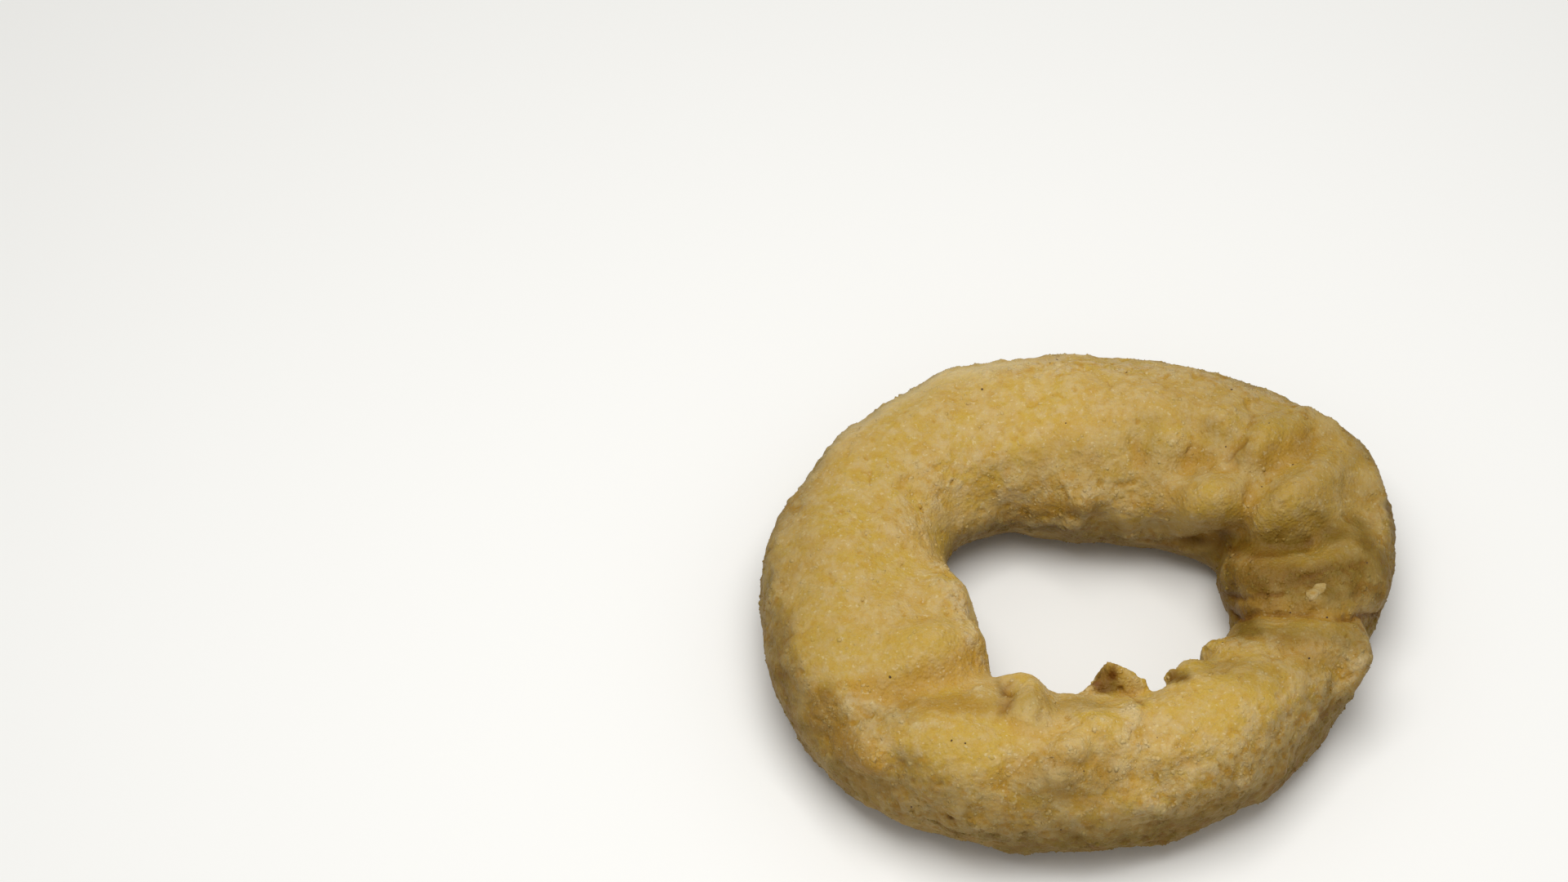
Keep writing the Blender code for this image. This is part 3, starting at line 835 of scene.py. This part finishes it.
class Shading:
    """Builds a material's nodes from short phrases, and its colour layer by layer."""

    def __init__(self, name):
        self.material = bpy.data.materials.new(name)
        self.material.use_nodes = True
        self.nodes = self.material.node_tree.nodes
        self.links = self.material.node_tree.links
        self.shader = self.nodes["Principled BSDF"]
        self.coordinates = self.nodes.new("ShaderNodeTexCoord").outputs["Object"]
        self.colour = None

    def plug(self, value, socket):
        if isinstance(value, bpy.types.NodeSocket):
            self.links.new(value, socket)
        else:
            socket.default_value = value

    def mark(self, name):
        node = self.nodes.new("ShaderNodeAttribute")
        node.attribute_name = name
        return node.outputs["Fac"]

    def mottle(self, size, detail=2.0, roughness=0.55):
        """Noise from 0 to 1 with features of a size in mm."""
        node = self.nodes.new("ShaderNodeTexNoise")
        node.inputs["Scale"].default_value = 1 / (size * MM)
        node.inputs["Detail"].default_value = detail
        node.inputs["Roughness"].default_value = roughness
        self.links.new(self.coordinates, node.inputs["Vector"])
        return node.outputs["Fac"]

    def granules(self, size):
        """Rounded grains of a size in mm: 0 at the middle of each, towards 1 between them."""
        shift = self.nodes.new("ShaderNodeTexNoise")
        shift.inputs["Scale"].default_value = 1 / (size * MM)
        self.links.new(self.coordinates, shift.inputs["Vector"])
        moved = self.nodes.new("ShaderNodeVectorMath")
        moved.operation = "MULTIPLY_ADD"
        self.links.new(shift.outputs["Color"], moved.inputs[0])
        moved.inputs[1].default_value = (0.5 * size * MM,) * 3
        self.links.new(self.coordinates, moved.inputs[2])
        node = self.nodes.new("ShaderNodeTexVoronoi")
        node.feature = "SMOOTH_F1"
        node.inputs["Scale"].default_value = 1 / (size * MM)
        node.inputs["Smoothness"].default_value = 0.25
        self.links.new(moved.outputs["Vector"], node.inputs["Vector"])
        return node.outputs["Distance"]

    def bump(self, height, depth, under=None):
        """Normals of a relief of a depth in mm, on top of another relief."""
        node = self.nodes.new("ShaderNodeBump")
        node.inputs["Distance"].default_value = depth * MM
        self.links.new(height, node.inputs["Height"])
        if under is not None:
            self.links.new(under, node.inputs["Normal"])
        return node.outputs["Normal"]

    def ramp(self, value, low, high, most=1.0, least=0.0):
        """Least at low and most at high, with a smooth change between."""
        node = self.nodes.new("ShaderNodeMapRange")
        node.interpolation_type = "SMOOTHSTEP"
        self.plug(value, node.inputs["Value"])
        node.inputs["From Min"].default_value = low
        node.inputs["From Max"].default_value = high
        node.inputs["To Min"].default_value = least
        node.inputs["To Max"].default_value = most
        return node.outputs["Result"]

    def combine(self, way, first, second):
        node = self.nodes.new("ShaderNodeMath")
        node.operation = way
        self.plug(first, node.inputs[0])
        self.plug(second, node.inputs[1])
        return node.outputs["Value"]

    def plus(self, first, second):
        return self.combine("ADD", first, second)

    def times(self, first, second):
        return self.combine("MULTIPLY", first, second)

    def blend(self, share, under, over, way="MIX"):
        node = self.nodes.new("ShaderNodeMix")
        node.data_type = "RGBA"
        node.blend_type = way
        self.plug(share, node.inputs["Factor"])
        self.plug(under, node.inputs["A"])
        self.plug(over, node.inputs["B"])
        return node.outputs["Result"]

    def lay(self, share, over, way="MIX"):
        """Lays a colour over what is there, by a share from 0 to 1."""
        self.colour = self.blend(share, self.colour, over, way)


CREAM = linear(196, 170, 112)
GOLDEN = linear(190, 157, 82)
YELLOW = linear(191, 159, 64)
ORANGE = linear(180, 134, 25)
BROWN = linear(108, 64, 2)
FLOUR = linear(206, 184, 132)
DUST = linear(216, 198, 152)
OILY = linear(192, 152, 50)
MILKY = linear(194, 171, 127)
SPECK_DARK = linear(48, 30, 10)
SPECK_LIGHT = linear(92, 60, 22)
FLOOR_COLOUR = linear(246, 246, 244)
# What the darkening, mostly painted shade and partly browning, leaves of a colour's red, green and blue.
SHADE_AND_TOAST_SHARE = (0.34, 0.284, 0.06, 1)
# The size of the batter's grains, its gloss, the share of red, green and blue light that passes
# under its surface, how far, and the height of the relief that is too fine for the mesh.
GRANULE = 0.8
SMALL_GRANULE = 0.42
GLOSS = 0.28
LIGHT_REACH = (1.0, 0.75, 0.3)
LIGHT_SCALE = 0.6
RELIEF = 0.08
SMALL_RELIEF = 0.06


def batter_material(name, depth):
    """Pale golden batter, orange in its pits and brown in its cracks, with paler flakes and painted shade.

    Depth is how much of the light passes under the surface. It is none in a grain, which is thinner
    than the light would go.
    """
    made = Shading(name)

    def by_roughness(smooth, rough):
        """A share that grows from smooth crust to rough."""
        return made.ramp(made.mark("rough"), 0, 0.8, rough, smooth)

    uneven = by_roughness(0.35, 1.0)
    patchy = by_roughness(0.25, 1.0)
    granules = made.granules(GRANULE)
    small_granules = made.granules(SMALL_GRANULE)
    sugary = made.mottle(0.16, 2, 0.6)
    floury = made.mottle(1.0, 2, 0.5)
    # Golden and yellow batter with orange clouds. Bare batter is yellow.
    made.colour = made.blend(made.ramp(made.mottle(7), 0.38, 0.62), GOLDEN, YELLOW)
    made.lay(made.times(made.ramp(made.mottle(2.4, 2), 0.47, 0.66), patchy), ORANGE)
    made.lay(made.ramp(made.mark("yellow"), 0.1, 0.8, 0.8), YELLOW)
    # Pale flakes, milky clouds and the tops of the grains.
    pale = made.blend(made.ramp(made.mottle(0.9, 3), 0.45, 0.65, 0.7), CREAM, FLOUR)
    crumbly = made.plus(made.mark("flake"), made.times(made.mottle(0.7, 3, 0.6), 1.4))
    made.lay(made.times(made.ramp(crumbly, 0.6, 1.7), by_roughness(0.6, 0.95)), pale)
    made.lay(made.times(made.ramp(made.mottle(1.9, 2), 0.48, 0.66), patchy), MILKY)
    made.lay(made.ramp(granules, 0.35, 0.1, 0.25), MILKY)
    # Orange in the hollows, partly oil and partly painted shade, and oil between the grains and in spots.
    made.lay(made.ramp(made.mark("orange"), 0.1, 0.9, 0.65), ORANGE)
    made.lay(made.ramp(made.mark("wide_hollow"), 0.15, 1.0, 0.5), ORANGE)
    made.lay(made.ramp(made.mark("fine_hollow"), 0.02, 0.14, 0.65), ORANGE)
    made.lay(made.times(made.times(made.ramp(granules, 0.45, 0.75), uneven), 0.4), ORANGE)
    made.lay(made.times(made.ramp(made.mottle(1.2, 3), 0.53, 0.68, 0.9), patchy), ORANGE)
    # The finest grain: a little oil and a little flour.
    made.lay(made.ramp(small_granules, 0.4, 0.8, 0.1), OILY)
    made.lay(made.ramp(small_granules, 0.35, 0.1, 0.1), MILKY)
    for grain in (floury, sugary):
        made.lay(made.ramp(grain, 0.5, 0.35, 0.2), OILY)
        made.lay(made.ramp(grain, 0.5, 0.66, 0.2), MILKY)
    # Flour on top, painted shade and some real browning over it all, and brown in the cracks and painted
    # shade in a few bands.
    made.lay(made.mark("floury"), FLOUR)
    made.lay(made.ramp(made.mottle(0.5, 1), 0.64, 0.76, 0.5), DUST)
    made.lay(made.mark("grain"), FLOUR)
    made.lay(made.mark("shade_and_toast"), SHADE_AND_TOAST_SHARE, "MULTIPLY")
    made.lay(made.mark("stain"), BROWN)
    made.plug(made.colour, made.shader.inputs["Base Color"])
    # Grains are a little glossier than the crust.
    made.plug(made.ramp(made.mark("grain"), 0, 0.6, 0.4, 0.6), made.shader.inputs["Roughness"])
    made.shader.inputs["Specular IOR Level"].default_value = GLOSS
    made.shader.inputs["Subsurface Weight"].default_value = depth
    made.shader.inputs["Subsurface Radius"].default_value = LIGHT_REACH
    made.shader.inputs["Subsurface Scale"].default_value = LIGHT_SCALE * MM
    lumpy = made.bump(made.times(made.ramp(granules, 0.8, 0.0), uneven), RELIEF)
    domed = made.bump(made.ramp(small_granules, 0.8, 0.0), SMALL_RELIEF, lumpy)
    grainy = made.bump(made.times(made.mottle(0.35, 3, 0.65), uneven), RELIEF, domed)
    sugared = made.bump(made.times(sugary, uneven), RELIEF, grainy)
    made.plug(sugared, made.shader.inputs["Normal"])
    return made.material


def specks_material():
    """Dark brown specks."""
    made = Shading("dark_specks")
    colour = made.blend(made.mottle(0.2), SPECK_DARK, SPECK_LIGHT)
    made.plug(colour, made.shader.inputs["Base Color"])
    made.shader.inputs["Roughness"].default_value = SPECK_ROUGHNESS
    return made.material


def add_piece(name, mesh, material):
    """Puts a mesh in the scene as a piece that rides on the ring."""
    mesh.name = name
    mesh.materials.append(material)
    mesh.shade_smooth()
    piece = bpy.data.objects.new(name, mesh)
    bpy.context.scene.collection.objects.link(piece)
    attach(piece, BODY)
    return piece


def add_grains(kind, surface, material, weight):
    """Loose grains of one kind, which take the crust's marks where they lie."""
    draw = np.random.default_rng(kind.seed)
    places, normals, near = spread(surface, kind.count, weight, draw)
    smallest, largest = kind.radii
    radii = smallest + (largest - smallest) * draw.random(kind.count) ** 2
    sunk = draw.uniform(0.3, 0.75, kind.count)
    mesh = grains_mesh(places, normals, radii, draw, kind.rounds, flatness=0.8, unevenness=0.25, sunk=sunk)
    corners = len(mesh.vertices) // kind.count
    for mark, values in surface.marks.items():
        if mark == "grain":
            values = draw.uniform(*kind.whiteness, kind.count)
        else:
            values = values[near]
        attribute = mesh.attributes.new(mark, "FLOAT", "POINT")
        attribute.data.foreach_set("value", np.repeat(values, corners).astype(np.float32))
    add_piece(kind.name, mesh, material)


def grain_weight(surface):
    """Where loose grains gather: off the floor, in patches, and more on rough crust than on bare."""
    clear = smooth_step(surface.points[:, 2], 0.4, 2.0)
    patchy = 0.15 + smooth_step(noise_at(surface.points, 1.6, (2, 2, 2)), -0.1, 0.3)
    rough = 0.25 + smooth_step(surface.marks["rough"], 0.1, 0.9)
    return clear * patchy * rough * (1 - 0.7 * surface.marks["yellow"])


def add_chip(photo, material):
    """The pale chip that lies on the right side."""
    chip = Surface(voxel_mesh([lumps_mesh(CHIP, photo, flatness=0.55)]))
    chip.points = chip.smoothed(chip.points, 1)
    chip.write()
    for mark, value in CHIP_MARKS.items():
        chip.mark(mark, np.full(chip.count, value))
    add_piece("pale_chip", chip.mesh, material)


def add_specks(surface, photo):
    """Dark specks where the photograph shows them, and some on the sides that it hides."""
    draw = np.random.default_rng(SPECK_SEED)
    hits = [photo.place(pixel) for pixel in SPECKS]
    seen = [hit for hit in hits if hit is not None]
    hidden = smooth_step(surface.points[:, 1], 20, 28) * smooth_step(surface.points[:, 2], 2, 5)
    places, normals, _ = spread(surface, MORE_SPECKS, hidden, draw)
    places = np.vstack([place for place, _ in seen] + [places])
    normals = np.vstack([normal for _, normal in seen] + [normals])
    radii = draw.uniform(*SPECK_RADII, len(places))
    mesh = grains_mesh(places, normals, radii, draw, rounds=1, flatness=0.5, unevenness=0.2, sunk=0.1)
    add_piece("dark_specks", mesh, specks_material())


def crust_form():
    """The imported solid's own form, evenly meshed and smoothed, but sharp where batter is torn."""
    form = Surface(voxel_mesh([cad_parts[NODE].data], SUBDIVISIONS))
    soften(form, Photo(form).patch_mask(form.points, TORN_PATCHES), FORM_SMOOTHING)
    return form


def crust_surface():
    """The whole crust: the form with its clumps, lumps and torn leaf, softened and carved."""
    form = crust_form()
    photo = Photo(form)
    rough = crust_roughness(form, photo)
    shape_form(form, photo, rough)
    lumps = lumps_mesh(PALE_LUMPS, photo, flatness=0.8)
    meshes = [form.mesh, clumps_mesh(form, rough), lumps, leaf_mesh(photo)]
    surface = thin_underside(Surface(voxel_mesh(meshes)))
    photo = Photo(surface)
    torn = photo.patch_mask(surface.points, TORN_PATCHES)
    soften(surface, torn + crust_roughness(surface, photo), CRUST_SMOOTHING)
    carve_crust(surface, Photo(surface))
    return surface


def add_ring():
    surface = crust_surface()
    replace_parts(add_piece("crust", surface.mesh, batter_material("fried_batter", 0.35)), NODE)
    material = batter_material("flour", 0)
    weight = grain_weight(surface)
    for kind in GRAINS:
        add_grains(kind, surface, material, weight)
    photo = Photo(surface)
    add_chip(photo, material)
    add_specks(surface, photo)


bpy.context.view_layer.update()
add_camera()
add_light()
add_floor()
add_ring()
